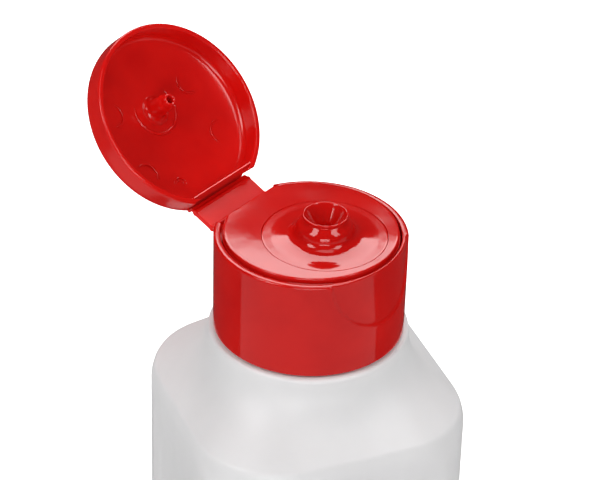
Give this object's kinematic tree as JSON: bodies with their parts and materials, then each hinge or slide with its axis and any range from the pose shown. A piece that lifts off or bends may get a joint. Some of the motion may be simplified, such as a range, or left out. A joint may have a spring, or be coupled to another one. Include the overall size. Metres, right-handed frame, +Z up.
{
  "type": "wash bottle",
  "caption": "Square translucent squeeze bottle with a round shoulder collar and a screw-on flip-top dispensing closure with an off-centre nozzle.",
  "frame": {"origin": "middle of the bottle's flat base", "axes": "+Z up along the bottle's axis; the four faces of the square body look along +X, -X, +Y and -Y; the lid's hinge is at 120 degrees from +X about +Z"},
  "size_m": [0.0655, 0.0764, 0.1503],
  "materials": {
    "bottle_body": "milky translucent natural polyethylene, satin",
    "closure": "glossy moulded red polypropylene"
  },
  "bodies": {
    "bottle": {"bottle": "bottle_body"},
    "seal": {"plug_seal": "closure"},
    "closure": {"closure_shell": "closure", "closure_deck": "closure", "nozzle": "closure", "threaded_sleeve": "closure"},
    "strap": {"hinge_strap": "closure"},
    "lid": {"lid_shell": "closure", "lid_spigot": "closure", "lid_seal_ring": "closure"}
  },
  "joints": [
    {"name": "closure_lift", "type": "slide", "parent": "bottle", "child": "seal", "axis": [0, 0, 1], "range_m": [0, 0.0065]},
    {"name": "closure_turn", "type": "hinge", "parent": "seal", "child": "closure", "pos_m": [0, 0, 0.122], "axis": [0, 0, 1], "range_deg": [0, 540]},
    {"name": "strap_fold", "type": "hinge", "parent": "closure", "child": "strap", "pos_m": [-0.00887, 0.01537, 0.11875], "axis": [-0.866, -0.5, 0], "range_deg": [-67, 23]},
    {"name": "lid_fold", "type": "hinge", "parent": "strap", "child": "lid", "pos_m": [-0.012, 0.02079, 0.12141], "axis": [-0.866, -0.5, 0], "range_deg": [-67, 23]}
  ],
  "couplings": [
    {"joint": "closure_lift", "follows": "closure_turn", "m_per_rad": 0.00066845}
  ]
}
